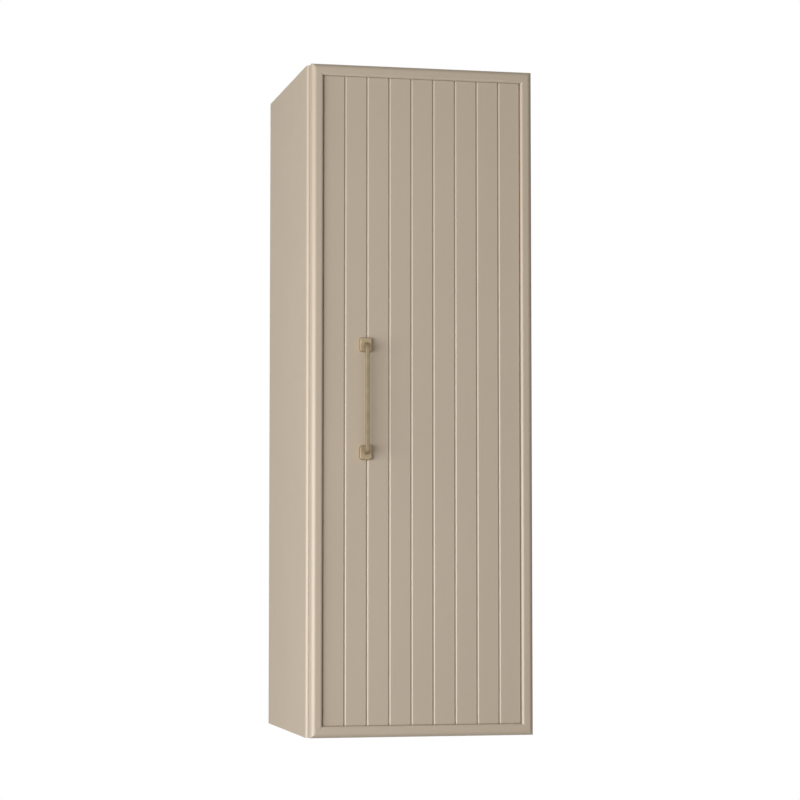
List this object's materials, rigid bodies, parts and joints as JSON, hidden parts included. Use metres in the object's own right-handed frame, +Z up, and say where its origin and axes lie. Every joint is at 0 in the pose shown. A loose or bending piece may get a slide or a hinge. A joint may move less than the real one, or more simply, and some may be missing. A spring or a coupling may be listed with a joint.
{
  "type": "bathroom cabinet",
  "caption": "Tall wall-hung bathroom cabinet with one tongue-and-groove door on hidden hinges, a slim bar handle and adjustable shelves inside.",
  "frame": {"origin": "middle of the four wall-fixing holes, on the wall plane at the cabinet's back", "axes": "+X to the right seen from the front, +Y back into the wall, +Z up"},
  "size_m": [0.346, 0.3672, 1],
  "materials": {
    "satin_paint": "satin taupe paint on board",
    "raw_rail": "satin taupe paint on board",
    "beech": "bare",
    "nickel": "nickel plated",
    "zinc_steel": "zinc plated",
    "cap_plastic": "matte",
    "catch_plastic": "matte",
    "ferrite": "dark ferrite",
    "bumper_rubber": "soft, translucent",
    "aged_brass": "dull aged brass"
  },
  "bodies": {
    "carcass": {"side_panel_left": "satin_paint", "side_panel_right": "satin_paint", "top_panel": "satin_paint", "bottom_panel": "satin_paint", "back_panel": "satin_paint", "shelf_upper": "satin_paint", "shelf_middle": "satin_paint", "shelf_lower": "satin_paint", "hanging_rail_upper": "raw_rail", "hanging_rail_lower": "raw_rail", "assembly_dowels": "beech", "shelf_pegs": "nickel", "cam_bolts": "zinc_steel", "cam_housings": "zinc_steel", "cam_cover_caps": "cap_plastic", "hinge_plate_screws": "zinc_steel", "hinge_arm_screws": "zinc_steel", "catch_body": "catch_plastic", "catch_magnet": "ferrite", "catch_screws": "zinc_steel", "door_bumpers": "bumper_rubber", "hinge_plate_upper": "nickel", "hinge_arm_upper": "nickel", "hinge_plate_middle": "nickel", "hinge_arm_middle": "nickel", "hinge_plate_lower": "nickel", "hinge_arm_lower": "nickel"},
    "door": {"door_stile_left": "satin_paint", "door_stile_right": "satin_paint", "door_rail_top": "satin_paint", "door_rail_bottom": "satin_paint", "door_board_1": "satin_paint", "door_board_2": "satin_paint", "door_board_3": "satin_paint", "door_board_4": "satin_paint", "door_board_5": "satin_paint", "door_board_6": "satin_paint", "door_board_7": "satin_paint", "door_board_8": "satin_paint", "door_board_9": "satin_paint", "hinge_cup_screws": "zinc_steel", "catch_strike_plate": "nickel", "catch_strike_screw": "zinc_steel", "handle_bar": "aged_brass", "handle_rose_upper": "aged_brass", "handle_rose_lower": "aged_brass", "handle_screws": "zinc_steel", "hinge_cup_upper": "nickel", "hinge_cup_middle": "nickel", "hinge_cup_lower": "nickel", "hinge_pins": "zinc_steel"}
  },
  "joints": [
    {"name": "door_hinge", "type": "hinge", "parent": "carcass", "child": "door", "pos_m": [0.163, -0.34, 0], "axis": [0, 0, 1], "range_deg": [0, 105]}
  ]
}
